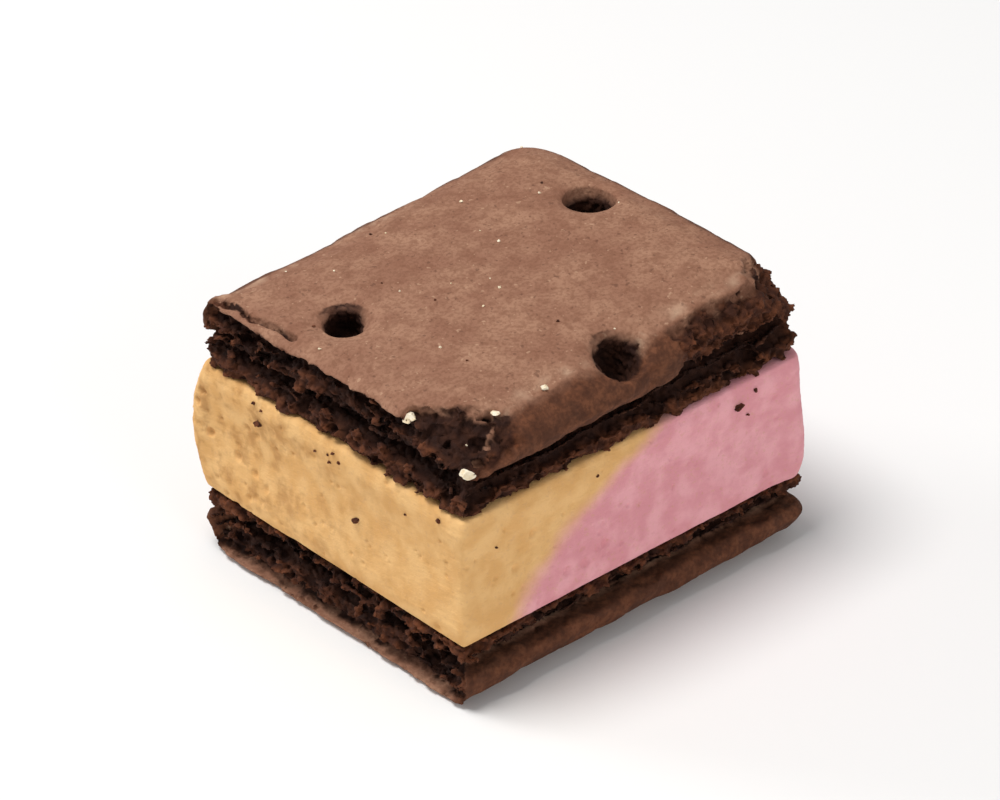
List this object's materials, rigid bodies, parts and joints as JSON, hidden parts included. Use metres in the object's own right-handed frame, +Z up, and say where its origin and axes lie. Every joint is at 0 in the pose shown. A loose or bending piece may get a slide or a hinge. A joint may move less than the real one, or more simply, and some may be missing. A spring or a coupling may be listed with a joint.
{
  "type": "freeze-dried ice cream sandwich",
  "caption": "Square cut piece of freeze-dried ice cream sandwich: vanilla and strawberry filling between pricked chocolate wafers with crumbly broken edges.",
  "frame": {"origin": "under the middle of the piece, on the flat skin of the bottom wafer that it rests on", "axes": "+Z up through the layers, +X along the longer cut side, from the chipped front corner towards the strawberry end"},
  "size_m": [0.0368, 0.0326, 0.0251],
  "materials": {
    "top_wafer": "matt baked chocolate wafer, grey-brown skin over darker crumb",
    "bottom_wafer": "matt baked chocolate wafer, brown skin over darker crumb",
    "vanilla_filling": "chalky dry vanilla ice cream, warm pale yellow, finely porous",
    "strawberry_filling": "chalky dry strawberry ice cream, soft pink, finely porous"
  },
  "bodies": {
    "root": {"top_wafer": "top_wafer", "bottom_wafer": "bottom_wafer", "vanilla_filling": "vanilla_filling", "strawberry_filling": "strawberry_filling"}
  },
  "joints": []
}
